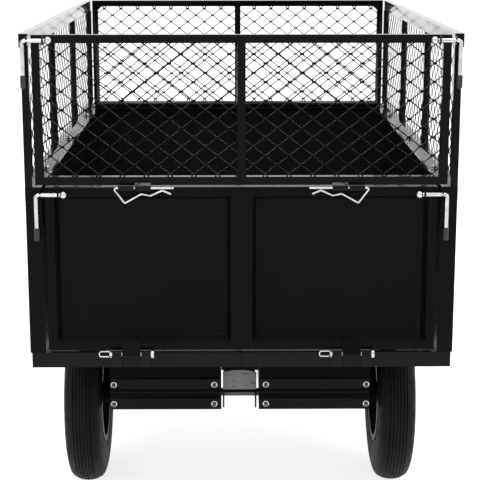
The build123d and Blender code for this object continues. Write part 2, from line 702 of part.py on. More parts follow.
half_width = TYRE_WIDTH / 2
side_height = WHEEL_RADIUS - RIM_RADIUS
outline = ((0.78, 0), (0.8, 0.13), (1, 0.45), (0.92, 0.78), (0.6, 0.95), (0, 1))
tyre_outside = mirrored([(f * half_width, RIM_RADIUS + g * side_height) for f, g in outline])
tyre_inside = mirrored(
    [
        (0.6 * half_width, RIM_RADIUS),
        (0.8 * half_width - TYRE_WALL, RIM_RADIUS + 0.15 * side_height),
        (half_width - TYRE_WALL, RIM_RADIUS + 0.45 * side_height),
        (0.6 * half_width, WHEEL_RADIUS - TREAD_THICKNESS - 0.06 * side_height),
        (0, WHEEL_RADIUS - TREAD_THICKNESS),
    ]
)
rim_seat = RIM_RADIUS - SEAT_GAP
flange_inner = 0.84 * half_width
flange_outer = flange_inner + RIM_SHEET

for side_name, side in SIDES:
    with BuildPart() as tyre:
        with BuildSketch(wheel_plane(side)):
            with BuildLine():
                Spline(*tyre_outside)
                Line(tyre_outside[-1], tyre_inside[-1])
                Spline(*tyre_inside)
                Line(tyre_inside[0], tyre_outside[0])
            make_face()
        revolve(axis=wheel_axis(side))
    save(tyre.part, f"tyre_{side_name}")

    with BuildPart() as rim:
        with BuildSketch(wheel_plane(side)):
            with Locations((0, rim_seat - RIM_SHEET / 2)):
                Rectangle(2 * flange_outer, RIM_SHEET)
            flange_low = rim_seat - RIM_SHEET
            flange_high = RIM_RADIUS + RIM_FLANGE_HEIGHT
            flange_middle = (flange_inner + flange_outer) / 2
            with Locations(
                (-flange_middle, (flange_low + flange_high) / 2),
                (flange_middle, (flange_low + flange_high) / 2),
            ):
                Rectangle(RIM_SHEET, flange_high - flange_low)
            with Locations((0, (HUB_RADIUS + flange_low) / 2)):
                Rectangle(RIM_SHEET, flange_low - HUB_RADIUS + RIM_SHEET)
            bore = AXLE_RADIUS + RUNNING_GAP
            hub_middle = side * ((HUB_INNER + HUB_OUTER) / 2 - WHEEL_X)
            with Locations((hub_middle, (bore + HUB_RADIUS) / 2)):
                Rectangle(HUB_OUTER - HUB_INNER, HUB_RADIUS - bore)
        revolve(axis=wheel_axis(side))
    save(rim.part, f"rim_{side_name}")

with BuildPart() as axle:
    with BuildSketch(across(-AXLE_END, AXLE_Y, AXLE_Z)):
        Circle(AXLE_RADIUS)
    extrude(amount=2 * AXLE_END)
save(axle.part, "axle")

# A collar each side of each hub keeps it in place on the axle.
with BuildPart() as axle_collar:
    for start in (HUB_INNER - PIN_GAP - COLLAR_LENGTH, HUB_OUTER + PIN_GAP):
        with BuildSketch(across(start, AXLE_Y, AXLE_Z)):
            Circle(COLLAR_RADIUS)
            Circle(AXLE_RADIUS + RUNNING_GAP, mode=Mode.SUBTRACT)
        extrude(amount=COLLAR_LENGTH)
save(both_sides(axle_collar.part), "axle_collars")

# ------------------------------------------------------------------ pivot bracket, drawbar

bracket_top = AXLE_Z + BRACKET_ABOVE_AXLE
bracket_rear = AXLE_Y - BRACKET_BEHIND_AXLE
with BuildPart() as pivot_bracket:
    for _, side in SIDES:
        block(
            (side * DRAWBAR_HALF, side * (DRAWBAR_HALF + BRACKET_SHEET)),
            (bracket_rear, bracket_rear + BRACKET_LENGTH),
            (bracket_top - BRACKET_HEIGHT, bracket_top),
        )
    block(
        (-DRAWBAR_HALF - BRACKET_SHEET, DRAWBAR_HALF + BRACKET_SHEET),
        (bracket_rear, bracket_rear + BRACKET_WEB_LENGTH),
        (bracket_top - BRACKET_SHEET, bracket_top),
    )
    with BuildSketch(across(0, AXLE_Y, AXLE_Z)):
        Circle(AXLE_RADIUS + RUNNING_GAP)
    extrude(amount=DRAWBAR_WIDTH, both=True, mode=Mode.SUBTRACT)
save(pivot_bracket.part, "pivot_bracket")

# A plate with a domed top closes the bracket's rear end, standing on its web.
with BuildPart() as pivot_end_plate:
    half = DRAWBAR_HALF + BRACKET_SHEET
    shoulder = END_PLATE_HEIGHT - END_PLATE_DOME
    with BuildSketch(facing_rear(0, bracket_rear + BRACKET_SHEET, bracket_top)):
        with BuildLine():
            ThreePointArc((-half, shoulder), (0, END_PLATE_HEIGHT), (half, shoulder))
            Polyline((half, shoulder), (half, 0), (-half, 0), (-half, shoulder))
        make_face()
    extrude(amount=BRACKET_SHEET)
save(pivot_end_plate.part, "pivot_end_plate")

# The drawbar rises from the pivot bracket to the bed's front edge, then drops to the hitch.
DRAWBAR_ROUTE = (
    (AXLE_Y + DRAWBAR_START, AXLE_Z - DRAWBAR_START_BELOW_AXLE),
    (FRONT - DRAWBAR_CREST_START, CREST_Z),
    (FRONT + DRAWBAR_CREST_END, CREST_Z),
    (FRONT + DRAWBAR_CREST_END + DRAWBAR_DESCENT, HITCH_HEIGHT),
    (JAW_BACK, HITCH_HEIGHT),
)
with BuildPart() as drawbar:
    with BuildLine(across(0, 0, 0)) as route:
        FilletPolyline(*DRAWBAR_ROUTE, radius=DRAWBAR_BEND_RADIUS)
    with BuildSketch(Plane(origin=route.line @ 0, x_dir=(1, 0, 0), z_dir=route.line % 0)):
        Rectangle(DRAWBAR_WIDTH, DRAWBAR_HEIGHT)
        Rectangle(DRAWBAR_WIDTH - 2 * DRAWBAR_WALL, DRAWBAR_HEIGHT - 2 * DRAWBAR_WALL, mode=Mode.SUBTRACT)
    sweep(path=route.line)
    with BuildSketch(across(0, STAND_Y, HITCH_HEIGHT)):
        Circle(STAND_PIN_RADIUS + RUNNING_GAP)
    extrude(amount=DRAWBAR_WIDTH, both=True, mode=Mode.SUBTRACT)
save(drawbar.part, "drawbar")

with BuildPart() as hitch_clevis:
    for low in (HITCH_HEIGHT - DRAWBAR_HEIGHT / 2 - HITCH_PLATE, HITCH_HEIGHT + DRAWBAR_HEIGHT / 2):
        with BuildSketch(Plane.XY.offset(low)):
            with Locations((0, HITCH_Y)):
                Circle(HITCH_NOSE_RADIUS)
            with Locations((0, JAW_BACK - HITCH_PLATE_OVERLAP / 2)):
                Rectangle(DRAWBAR_WIDTH, HITCH_PLATE_OVERLAP)
            make_hull()
            with Locations((0, HITCH_Y)):
                Circle(HITCH_PIN_HOLE_RADIUS, mode=Mode.SUBTRACT)
        extrude(amount=HITCH_PLATE)
save(hitch_clevis.part, "hitch_clevis")

# ------------------------------------------------------------------ bed rest, tilt latch

with BuildPart() as bed_rest:
    block(
        (-REST_WIDTH / 2, REST_WIDTH / 2),
        (FRONT - REST_LENGTH / 2, FRONT + REST_LENGTH / 2),
        (DRAWBAR_TOP, BED_BOTTOM - SEAT_GAP),
    )
save(bed_rest.part, "bed_rest")

# The bed's striker: a plate on the front beam with a bar for the latch lever's hook.
striker_out = STRIKER_BAR_OUT + STRIKER_BAR_RADIUS
striker_bar_z = FLOOR_TOP - STRIKER_BAR_BELOW_FLOOR
striker_cheek_outer = STRIKER_CHEEK + LATCH_PLATE
with BuildPart() as latch_striker:
    block(
        (-STRIKER_HALF_WIDTH, STRIKER_HALF_WIDTH),
        (FRONT, FRONT + LATCH_PLATE),
        (BED_BOTTOM + SHEET, FLOOR_TOP + STRIKER_RISE),
    )
    for _, side in SIDES:
        block(
            (side * STRIKER_CHEEK, side * striker_cheek_outer),
            (FRONT, FRONT + striker_out),
            (striker_bar_z - STRIKER_CHEEK_HALF_HEIGHT, striker_bar_z + STRIKER_CHEEK_HALF_HEIGHT),
        )
    with BuildSketch(across(0, FRONT + STRIKER_BAR_OUT, striker_bar_z)):
        Circle(STRIKER_BAR_RADIUS)
    extrude(amount=striker_cheek_outer - SHEET, both=True)
save(latch_striker.part, "latch_striker")

lever_y = FRONT + striker_out + LATCH_FOOT_GAP
lever_z = DRAWBAR_TOP + LATCH_PIVOT_HEIGHT
latch_cheek_outer = LATCH_CHEEK + LATCH_PLATE
with BuildPart() as tilt_latch_bracket:
    block(
        (-LATCH_FOOT_HALF_WIDTH, LATCH_FOOT_HALF_WIDTH),
        (lever_y - LATCH_FOOT_HALF_LENGTH, lever_y + LATCH_FOOT_HALF_LENGTH),
        (DRAWBAR_TOP, DRAWBAR_TOP + LATCH_PLATE),
    )
    for _, side in SIDES:
        block(
            (side * LATCH_CHEEK, side * latch_cheek_outer),
            (lever_y - LEVER_BOSS_RADIUS, lever_y + LEVER_BOSS_RADIUS),
            (DRAWBAR_TOP, lever_z + LATCH_PIVOT_MARGIN),
        )
    with BuildSketch(across(0, lever_y, lever_z)):
        Circle(STRIKER_BAR_RADIUS)
    extrude(amount=latch_cheek_outer + SHEET, both=True)
save(tilt_latch_bracket.part, "tilt_latch_bracket")

# The latch lever, leaning forward in its released position.
with BuildPart() as tilt_latch_lever:
    with BuildSketch(across(0, lever_y, lever_z)):
        Circle(LEVER_BOSS_RADIUS)
        with Locations((LEVER_FORWARD, LEVER_RISE)):
            Circle(LEVER_TIP_RADIUS)
        make_hull()
        Circle(STRIKER_BAR_RADIUS + RUNNING_GAP, mode=Mode.SUBTRACT)
    extrude(amount=LEVER_THICKNESS / 2, both=True)
save(tilt_latch_lever.part, "tilt_latch_lever")

# ------------------------------------------------------------------ parking stand

stand_drop = HITCH_HEIGHT - STAND_TUBE_RADIUS
stand_reach = hypot(stand_drop, STAND_FOOT_FORWARD)
up_y = -STAND_FOOT_FORWARD / stand_reach
up_z = stand_drop / stand_reach
stand_plane = Plane(origin=(0, STAND_Y, HITCH_HEIGHT), x_dir=(1, 0, 0), z_dir=(0, -up_z, up_y))
with BuildPart() as parking_stand:
    with BuildLine(stand_plane) as hoop:
        FilletPolyline(
            (STAND_X, STAND_HEAD),
            (STAND_X, -stand_reach),
            (-STAND_X, -stand_reach),
            (-STAND_X, STAND_HEAD),
            radius=STAND_BEND_RADIUS,
        )
    with BuildSketch(Plane(origin=hoop.line @ 0, z_dir=hoop.line % 0)):
        Circle(STAND_TUBE_RADIUS)
        Circle(STAND_TUBE_RADIUS - STAND_TUBE_WALL, mode=Mode.SUBTRACT)
    sweep(path=hoop.line)
    with BuildSketch(across(0, STAND_Y, HITCH_HEIGHT)):
        Circle(STAND_PIN_RADIUS + RUNNING_GAP)
    extrude(amount=2 * STAND_X, both=True, mode=Mode.SUBTRACT)
save(parking_stand.part, "parking_stand")

# The stand's pin, with a head and a spacer on each side.
with BuildPart() as stand_pin:
    head_start = STAND_X + STAND_TUBE_RADIUS + PIN_GAP
    with BuildSketch(across(0, STAND_Y, HITCH_HEIGHT)):
        Circle(STAND_PIN_RADIUS)
    extrude(amount=head_start, both=True)
    for _, side in SIDES:
        with BuildSketch(across(side * head_start, STAND_Y, HITCH_HEIGHT)):
            Circle(2 * STAND_PIN_RADIUS)
        extrude(amount=side * PIN_HEAD_LENGTH)
        with BuildSketch(across(side * (DRAWBAR_HALF + SEAT_GAP), STAND_Y, HITCH_HEIGHT)):
            Circle(1.5 * STAND_PIN_RADIUS)
        extrude(amount=side * (SWING_GAP - PIN_GAP))
save(stand_pin.part, "stand_pin")

# A bar under the drawbar that stops the stand's legs from swinging past their parked place.
leg_slope = STAND_FOOT_FORWARD / stand_drop
stop_drop = DRAWBAR_HEIGHT / 2 + STAND_STOP_HEIGHT
leg_front = STAND_Y + leg_slope * stop_drop + STAND_TUBE_RADIUS * stand_reach / stand_drop
with BuildPart() as stand_stop:
    block(
        (-STAND_X - STAND_TUBE_RADIUS, STAND_X + STAND_TUBE_RADIUS),
        (leg_front + SEAT_GAP, leg_front + SEAT_GAP + STAND_STOP_LENGTH),
        (HITCH_HEIGHT - stop_drop, HITCH_HEIGHT - DRAWBAR_HEIGHT / 2),
    )
save(stand_stop.part, "stand_stop")
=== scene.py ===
import json
import math

import bpy
from mathutils import Matrix, Vector


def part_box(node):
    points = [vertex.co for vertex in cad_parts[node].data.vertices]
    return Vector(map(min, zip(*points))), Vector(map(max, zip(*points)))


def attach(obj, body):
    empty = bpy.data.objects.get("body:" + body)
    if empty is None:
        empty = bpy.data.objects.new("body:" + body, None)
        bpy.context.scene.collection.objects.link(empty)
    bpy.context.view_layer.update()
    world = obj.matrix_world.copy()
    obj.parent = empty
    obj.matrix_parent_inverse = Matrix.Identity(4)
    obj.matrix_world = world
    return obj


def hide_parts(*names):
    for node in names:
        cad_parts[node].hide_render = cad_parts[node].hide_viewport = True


# A lawn tractor dump trailer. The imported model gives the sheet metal, tubes, hinges and
# drawbar; this script gives every piece its finish and adds the tread, bolts, welds, mesh
# knots, grips and valves. Metres, +X to the trailer's right, +Y forward, +Z up.

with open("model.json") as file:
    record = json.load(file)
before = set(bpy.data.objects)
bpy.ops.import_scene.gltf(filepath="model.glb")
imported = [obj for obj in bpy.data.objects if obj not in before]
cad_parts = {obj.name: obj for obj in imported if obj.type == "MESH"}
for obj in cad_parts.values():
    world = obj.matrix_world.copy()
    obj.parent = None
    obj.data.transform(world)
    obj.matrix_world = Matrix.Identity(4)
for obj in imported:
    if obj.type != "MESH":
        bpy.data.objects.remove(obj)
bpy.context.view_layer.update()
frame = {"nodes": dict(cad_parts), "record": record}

BED_REAR, BED_FRONT = -0.8735, 0.3265
END_FRAME = {"tube": 0.015, "depth": 0.016, "bays": 2}
SIDE_FRAME = {"tube": 0.014, "depth": 0.014, "bays": 3}
WASHER_THICKNESS = 0.0016

# ---------------------------------------------------------------- working on one piece


def let_go():
    """Leaves edit mode and selects nothing."""
    if bpy.context.object and bpy.context.object.mode != "OBJECT":
        bpy.ops.object.mode_set(mode="OBJECT")
    bpy.ops.object.select_all(action="DESELECT")


def take(piece):
    """Makes one piece the selected and active one."""
    let_go()
    piece.select_set(True)
    bpy.context.view_layer.objects.active = piece


def start(name):
    """Names the primitive that was just added and settles it at the origin."""
    piece = bpy.context.object
    piece.name = name
    bpy.ops.object.transform_apply(location=True, rotation=True, scale=True)
    return piece


def edit(piece, choose="NOTHING"):
    """Goes into edit mode on one piece, with all of it or none of it selected."""
    take(piece)
    bpy.ops.object.mode_set(mode="EDIT")
    bpy.ops.mesh.select_mode(type="VERT")
    bpy.ops.mesh.select_all(action="SELECT" if choose == "ALL" else "DESELECT")


def pick_faces(piece, wanted):
    """Selects the faces that pass a test of their middle and normal, ready for edit tools."""
    edit(piece)
    bpy.ops.mesh.select_mode(type="FACE")
    bpy.ops.object.mode_set(mode="OBJECT")
    for face in piece.data.polygons:
        face.select = wanted(face.center, face.normal)
    bpy.ops.object.mode_set(mode="EDIT")


def pick_points(piece, wanted):
    """Selects the vertices that pass a test of their place, ready for edit tools."""
    edit(piece)
    bpy.ops.object.mode_set(mode="OBJECT")
    for point in piece.data.vertices:
        point.select = wanted(point.co)
    bpy.ops.object.mode_set(mode="EDIT")


def done_editing():
    bpy.ops.object.mode_set(mode="OBJECT")


def soft_edges(piece, width, segments=2, angle=40):
    """Rounds the sharp edges and shades the rest smooth."""
    take(piece)
    rounding = piece.modifiers.new("rounding", "BEVEL")
    rounding.width = width
    rounding.segments = segments
    rounding.limit_method = "ANGLE"
    rounding.angle_limit = math.radians(angle)
    bpy.ops.object.modifier_apply(modifier=rounding.name)
    shade(piece)


def shade(piece, angle=38):
    take(piece)
    bpy.ops.object.shade_smooth_by_angle(angle=math.radians(angle))


def bar(name, low, high):
    """A block between two corners."""
    let_go()
    middle = [(a + b) / 2 for a, b in zip(low, high)]
    size = [b - a for a, b in zip(low, high)]
    bpy.ops.mesh.primitive_cube_add(size=1, location=middle, scale=size)
    return start(name)


TURN = {"X": (0, math.pi / 2, 0), "Y": (-math.pi / 2, 0, 0), "Z": (0, 0, 0)}


def disc(name, middle, radius, length, axis="Z", sides=32):
    """A round or many-sided bar about an axis through its middle."""
    let_go()
    bpy.ops.mesh.primitive_cylinder_add(
        vertices=sides, radius=radius, depth=length, location=middle, rotation=TURN[axis]
    )
    return start(name)


def turned(name, outline, middle, axis="X", steps=64):
    """A shape turned on a lathe. outline is a closed list of (along the axis, radius)."""
    let_go()
    bpy.ops.mesh.primitive_circle_add(vertices=len(outline), radius=1)
    piece = start(name)
    for point, (along, radius) in zip(piece.data.vertices, outline):
        point.co = (along, 0, radius)
    edit(piece, "ALL")
    bpy.ops.mesh.spin(
        steps=steps, angle=2 * math.pi, center=(0, 0, 0), axis=(1, 0, 0), use_auto_merge=True
    )
    bpy.ops.mesh.select_all(action="SELECT")
    bpy.ops.mesh.remove_doubles(threshold=1e-6)
    bpy.ops.mesh.normals_make_consistent(inside=False)
    if axis == "Z":
        bpy.ops.transform.rotate(value=math.pi / 2, orient_axis="Y", center_override=(0, 0, 0))
    if axis == "Y":
        bpy.ops.transform.rotate(value=math.pi / 2, orient_axis="Z", center_override=(0, 0, 0))
    bpy.ops.transform.translate(value=middle)
    done_editing()
    return piece


def joined(name, pieces):
    """Puts several pieces of one kind together as one."""
    let_go()
    for piece in pieces:
        piece.select_set(True)
    bpy.context.view_layer.objects.active = pieces[0]
    if len(pieces) > 1:
        bpy.ops.object.join()
    pieces[0].name = name
    return pieces[0]


def copies(pattern, name, places):
    """Copies a pattern, made at the origin along +Z, to each (point, direction) in places."""
    made = []
    for number, (point, direction) in enumerate(places):
        piece = pattern.copy()
        piece.data = pattern.data.copy()
        bpy.context.scene.collection.objects.link(piece)
        turn = Vector(direction).to_track_quat("Z", "Y").to_matrix().to_4x4()
        piece.data.transform(Matrix.Translation(point) @ turn)
        made.append(piece)
    whole = joined(name, made)
    return whole


def throw_away(piece):
    bpy.data.objects.remove(piece)


def finished(piece, body, finish):
    """Gives a piece its finish and lets it move with a body of the trailer."""
    piece.data.materials.clear()
    piece.data.materials.append(finish)
    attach(piece, body)
    return piece


def both_sides(points):
    """The same points on the left and on the right."""
    return [(side * x, y, z) for x, y, z in points for side in (-1, 1)]


# ---------------------------------------------------------------- finishes


class Finish:
    """A procedural finish read from the piece's own coordinates."""

    def __init__(self, name, roughness=0.5, metallic=0.0, ior=1.5):
        self.material = bpy.data.materials.new(name)
        self.material.use_nodes = True
        self.tree = self.material.node_tree
        self.shader = self.tree.nodes["Principled BSDF"]
        self.shader.inputs["Roughness"].default_value = roughness
        self.shader.inputs["Metallic"].default_value = metallic
        self.shader.inputs["IOR"].default_value = ior
        self.where = self.tree.nodes.new("ShaderNodeTexCoord").outputs["Object"]
        self.last_bump = None

    def worn_edges(self, radius):
        """Rounds the look of folded and cut edges, so that they catch the light."""
        node = self.tree.nodes.new("ShaderNodeBevel")
        node.samples = 4
        node.inputs["Radius"].default_value = radius
        self.last_bump = node.outputs["Normal"]
        self.link(self.last_bump, self.shader.inputs["Normal"])

    def link(self, out, into):
        self.tree.links.new(out, into)

    def noise(self, scale, detail=4.0, rough=0.55, stretch=(1, 1, 1)):
        node = self.tree.nodes.new("ShaderNodeTexNoise")
        node.inputs["Scale"].default_value = scale
        node.inputs["Detail"].default_value = detail
        node.inputs["Roughness"].default_value = rough
        if stretch == (1, 1, 1):
            self.link(self.where, node.inputs["Vector"])
        else:
            mapping = self.tree.nodes.new("ShaderNodeMapping")
            mapping.inputs["Scale"].default_value = stretch
            self.link(self.where, mapping.inputs["Vector"])
            self.link(mapping.outputs["Vector"], node.inputs["Vector"])
        return node.outputs["Fac"]

    def cells(self, scale):
        node = self.tree.nodes.new("ShaderNodeTexVoronoi")
        node.inputs["Scale"].default_value = scale
        self.link(self.where, node.inputs["Vector"])
        return node

    def spread(self, fac, low, high, to_low, to_high):
        """Maps a pattern's range onto a range of values."""
        node = self.tree.nodes.new("ShaderNodeMapRange")
        for key, value in (("From Min", low), ("From Max", high), ("To Min", to_low), ("To Max", to_high)):
            node.inputs[key].default_value = value
        self.link(fac, node.inputs["Value"])
        return node.outputs["Result"]

    def blend(self, fac, first, second):
        """Mixes two colours, or a socket and a colour, by a pattern."""
        node = self.tree.nodes.new("ShaderNodeMix")
        node.data_type = "RGBA"
        self.link(fac, node.inputs["Factor"])
        for value, socket in ((first, node.inputs["A"]), (second, node.inputs["B"])):
            if hasattr(value, "is_linked"):
                self.link(value, socket)
            else:
                socket.default_value = (*value, 1)
        return node.outputs["Result"]

    def times(self, first, second, how="MULTIPLY"):
        node = self.tree.nodes.new("ShaderNodeMath")
        node.operation = how
        for value, socket in ((first, node.inputs[0]), (second, node.inputs[1])):
            if hasattr(value, "is_linked"):
                self.link(value, socket)
            else:
                socket.default_value = value
        return node.outputs["Value"]

    def facing(self, axis, low, high):
        """1 on faces that look along the axis, and 0 on the rest."""
        normal = self.tree.nodes.new("ShaderNodeNewGeometry").outputs["Normal"]
        split = self.tree.nodes.new("ShaderNodeSeparateXYZ")
        self.link(normal, split.inputs["Vector"])
        return self.spread(split.outputs[axis], low, high, 0.0, 1.0)

    def glossy_sides(self):
        """0 on faces square to the trailer's length, whose coat is dulled, and 1 on the rest."""
        back, front = self.facing("Y", -0.15, -0.6), self.facing("Y", 0.15, 0.6)
        return self.times(1.0, self.times(back, front, "ADD"), "SUBTRACT")

    def dull_outside(self, weight):
        """1 on the faces that look inwards or up, and less on the outer sides, which weather first."""
        normal, place = (self.tree.nodes.new("ShaderNodeSeparateXYZ") for _ in range(2))
        self.link(self.tree.nodes.new("ShaderNodeNewGeometry").outputs["Normal"], normal.inputs["Vector"])
        self.link(self.where, place.inputs["Vector"])
        return self.spread(self.times(normal.outputs["X"], place.outputs["X"]), 0.05, 0.25, 1.0, weight)

    def colour(self, socket):
        self.link(socket, self.shader.inputs["Base Color"])

    def rough(self, socket):
        self.link(socket, self.shader.inputs["Roughness"])

    def bump(self, fac, strength, distance):
        """Adds a layer of relief over the ones before it."""
        node = self.tree.nodes.new("ShaderNodeBump")
        node.inputs["Strength"].default_value = strength
        node.inputs["Distance"].default_value = distance
        self.link(fac, node.inputs["Height"])
        if self.last_bump:
            self.link(self.last_bump, node.inputs["Normal"])
        self.last_bump = node.outputs["Normal"]
        self.link(self.last_bump, self.shader.inputs["Normal"])


def black_powder_coat(name, ior=1.14, dark=0.0024, orange_peel=0.10, edge=0.0016, gloss=1.0, dust=0.15,
                      dust_and_light_faces=("Z", 0.6, 0.97)):
    """Black powder coat on sheet steel: orange peel, slow waves, glossy sides, and a lighter grey on the faces
    that look one way, which is partly settled dust and partly painted light.
    """
    coat = Finish(name, ior=ior)
    if edge:
        coat.worn_edges(edge)
    tone = coat.noise(5.0, 5.0)
    # A lighter grey on the faces that look along one axis, up unless told otherwise: settled dust, and also
    # painted light where it is raised to make a piece read lit.
    dust_and_light = coat.times(coat.facing(*dust_and_light_faces), coat.spread(coat.noise(38.0, 6.0, 0.7), 0.3, 0.8, 0.35 * dust, dust))
    darker, lighter = (dark, dark, 1.06 * dark), (1.6 * dark, 1.6 * dark, 1.7 * dark)
    clean = coat.blend(coat.spread(tone, 0.3, 0.7, 0.0, 1.0), darker, lighter)
    coat.colour(coat.blend(dust_and_light, clean, (0.05, 0.05, 0.048)))
    coat.rough(coat.spread(coat.noise(14.0, 6.0, 0.65), 0.3, 0.75, 0.2, 0.36))
    if gloss:
        shine = coat.times(coat.glossy_sides(), coat.dull_outside(0.3))
        coat.link(coat.times(shine, gloss), coat.shader.inputs["Coat Weight"])
        coat.shader.inputs["Coat Roughness"].default_value = 0.07
    coat.bump(coat.noise(7.0, 1.0), 0.12, 0.004)
    coat.bump(coat.noise(420.0, 1.5), orange_peel, 0.0006)
    return coat.material


def bright_zinc(name, grain=(1, 1, 1), low=0.22, high=0.4, tint=(0.66, 0.67, 0.67)):
    """Bright zinc plate with faint spangle and drawn-wire grain."""
    zinc = Finish(name, metallic=1.0)
    spangle = zinc.cells(260.0)
    shadow = tuple(0.68 * c for c in tint)
    zinc.colour(zinc.blend(zinc.spread(zinc.noise(90.0, 5.0), 0.35, 0.75, 0.0, 1.0), tint, shadow))
    zinc.rough(zinc.spread(zinc.noise(160.0, 4.0, 0.6, grain), 0.3, 0.75, low, high))
    zinc.bump(spangle.outputs["Distance"], 0.08, 0.0003)
    zinc.bump(zinc.noise(900.0, 2.0, 0.5, grain), 0.15, 0.0002)
    return zinc.material


def scratched_zinc():
    """Dull rolled plate with fine dark scratches across it."""
    plate = Finish("plate_zinc", metallic=1.0)
    grain = plate.noise(160.0, 4.0, 0.5, (0.08, 1, 1))
    scratches = plate.spread(plate.noise(210.0, 1.0, 0.5, (0.1, 1, 1)), 0.66, 0.7, 0.0, 0.75)
    clean = plate.blend(plate.spread(grain, 0.3, 0.7, 0.0, 1.0), (0.16, 0.16, 0.163), (0.23, 0.23, 0.233))
    plate.colour(plate.blend(scratches, clean, (0.02, 0.02, 0.02)))
    plate.rough(plate.spread(grain, 0.3, 0.7, 0.4, 0.6))
    plate.bump(grain, 0.1, 0.0003)
    return plate.material


def tyre_rubber():
    """Dull black tyre rubber with moulding texture and a trace of dust."""
    rubber = Finish("tyre_rubber", ior=1.22)
    dust = rubber.spread(rubber.noise(26.0, 6.0, 0.7), 0.48, 0.85, 0.0, 0.5)
    rubber.colour(rubber.blend(dust, (0.0045, 0.0045, 0.005), (0.013, 0.013, 0.0125)))
    rubber.rough(rubber.spread(rubber.noise(60.0, 5.0), 0.3, 0.7, 0.5, 0.72))
    rubber.bump(rubber.noise(1200.0, 2.0), 0.2, 0.0004)
    rubber.bump(rubber.noise(45.0, 3.0), 0.15, 0.0012)
    return rubber.material


def soft_rubber(name, tone, low, high, pitch=1500.0):
    rubber = Finish(name, ior=1.45)
    darker = tuple(0.6 * c for c in tone)
    rubber.colour(rubber.blend(rubber.spread(rubber.noise(120.0, 4.0), 0.3, 0.7, 0.0, 1.0), tone, darker))
    rubber.rough(rubber.spread(rubber.noise(300.0, 4.0), 0.3, 0.7, low, high))
    rubber.bump(rubber.noise(pitch, 2.0), 0.25, 0.0003)
    return rubber.material


def weld_metal():
    """A painted weld bead: the same black, duller, with lumps."""
    bead = Finish("weld_black", ior=1.3)
    bead.colour(bead.blend(bead.noise(300.0, 3.0), (0.004, 0.004, 0.0045), (0.012, 0.012, 0.012)))
    bead.rough(bead.spread(bead.noise(500.0, 4.0), 0.3, 0.7, 0.3, 0.5))
    bead.bump(bead.noise(700.0, 3.0), 0.4, 0.0005)
    return bead.material


# The black finishes below are copies of one paint. Their base darkness and lighter grey layer are set piece by
# piece as painted light and painted shade: the floors, posts, hinges, mesh frames, gate, rims, bead crests and
# the front panel's rear faces are painted lighter than the tailgate's black.
BLACK = black_powder_coat("gloss_black_paint", gloss=0.3)
# Painted light on the floors: a lighter black, and more of the lighter grey layer on their tops, so the bed's
# floor reads lit.
BEAM_BLACK = black_powder_coat("beam_black_paint", ior=1.2, dark=0.004, edge=0.0025, gloss=0.3, dust=0.4)
POST_BLACK = black_powder_coat("post_black_paint", dark=0.003)
HINGE_BLACK = black_powder_coat("hinge_black_paint", ior=1.2, dark=0.003, edge=0.001)
# Painted light and shade on the carriers' cross plates: the bead copy is lighter, as painted highlight on the
# crests, and the groove copy darker and duller, as painted shade in the grooves; the groove copy also paints the
# closing plate and the pivot lip.
BEAD_BLACK = black_powder_coat("bead_black_paint", ior=1.18, dark=0.0036, edge=0.003, gloss=0.3)
GROOVE_BLACK = black_powder_coat("groove_black_paint", ior=1.1, dark=0.0026, edge=0.003, gloss=0.3)
MESH_BLACK = black_powder_coat("mesh_black_paint", ior=1.17, dark=0.003, orange_peel=0.05, edge=0)
# Painted light on the front panel: the lighter grey layer goes on the faces that look to the rear, so its inner
# face reads lit though it stands in the walls' shade.
FRONT_BLACK = black_powder_coat("front_black_paint", dust=0.34, dust_and_light_faces=("Y", -0.6, -0.97))
# Painted light in the rims: a black five times lighter than the tailgate's, so the dish inside the tyre reads lit
# rather than in shade.
RIM_BLACK = black_powder_coat("rim_black_paint", ior=1.05, dark=0.012, gloss=0)
GATE_BLACK = black_powder_coat("gate_black_paint", ior=1.17, dark=0.003, orange_peel=0.05, edge=0, gloss=0.6)
ZINC = bright_zinc("bright_zinc")
ROD_ZINC = bright_zinc("drawn_zinc", grain=(1, 1, 0.08), low=0.2, high=0.36, tint=(0.6, 0.6, 0.595))
DARK_ZINC = bright_zinc("dull_zinc", low=0.35, high=0.55, tint=(0.11, 0.11, 0.115))
PLATE_ZINC = scratched_zinc()
AXLE_STEEL = bright_zinc("axle_steel", grain=(0.1, 1, 1), low=0.3, high=0.45, tint=(0.1, 0.1, 0.1))
TYRE = tyre_rubber()
GRIP = soft_rubber("grip_rubber", (0.03, 0.03, 0.031), 0.5, 0.68)
PAD = soft_rubber("pad_rubber", (0.022, 0.022, 0.022), 0.7, 0.85, 800.0)
WELD = weld_metal()

FINISHES = {
    "black_paint": BLACK,
    "rim_paint": RIM_BLACK,
    "zinc": ZINC,
    "tyre_rubber": TYRE,
    "grip_rubber": GRIP,
    "pad_rubber": PAD,
}
# Pieces with their own finish; the black ones are the copies above, lighter or darker per piece as painted light
# and shade.
OWN_FINISH = {
    "bed_hinge_eyes": HINGE_BLACK,
    "tailgate_lower_eyes": BLACK,
    "front_panel": FRONT_BLACK,
    "tailgate_upper_eyes": HINGE_BLACK,
    "mesh_gate_eyes": HINGE_BLACK,
    "floor_left": BEAM_BLACK,
    "floor_right": BEAM_BLACK,
    "side_panel_left": POST_BLACK,
    "side_panel_right": POST_BLACK,
    "side_mesh_panel_left": MESH_BLACK,
    "side_mesh_panel_right": MESH_BLACK,
    "front_mesh_panel": MESH_BLACK,
    "mesh_gate_panel": GATE_BLACK,
    "tailgate_latch_rods": ROD_ZINC,
    "mesh_gate_latch_rods": ROD_ZINC,
    "gate_hinge_clips": ROD_ZINC,
    "tailgate_hinge_pins": ROD_ZINC,
    "axle": AXLE_STEEL,
    "pivot_end_plate": PLATE_ZINC,
}


def paint_frame():
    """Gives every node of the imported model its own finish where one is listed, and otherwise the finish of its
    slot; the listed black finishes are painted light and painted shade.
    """
    slots = {part["node"]: part["material_slot"] for part in frame["record"]["subparts"]}
    for name, node in frame["nodes"].items():
        finish = OWN_FINISH.get(name) or FINISHES[slots[name]]
        node.data.materials.clear()
        node.data.materials.append(finish)
        shade(node, 30)


# ---------------------------------------------------------------- pressed sheets


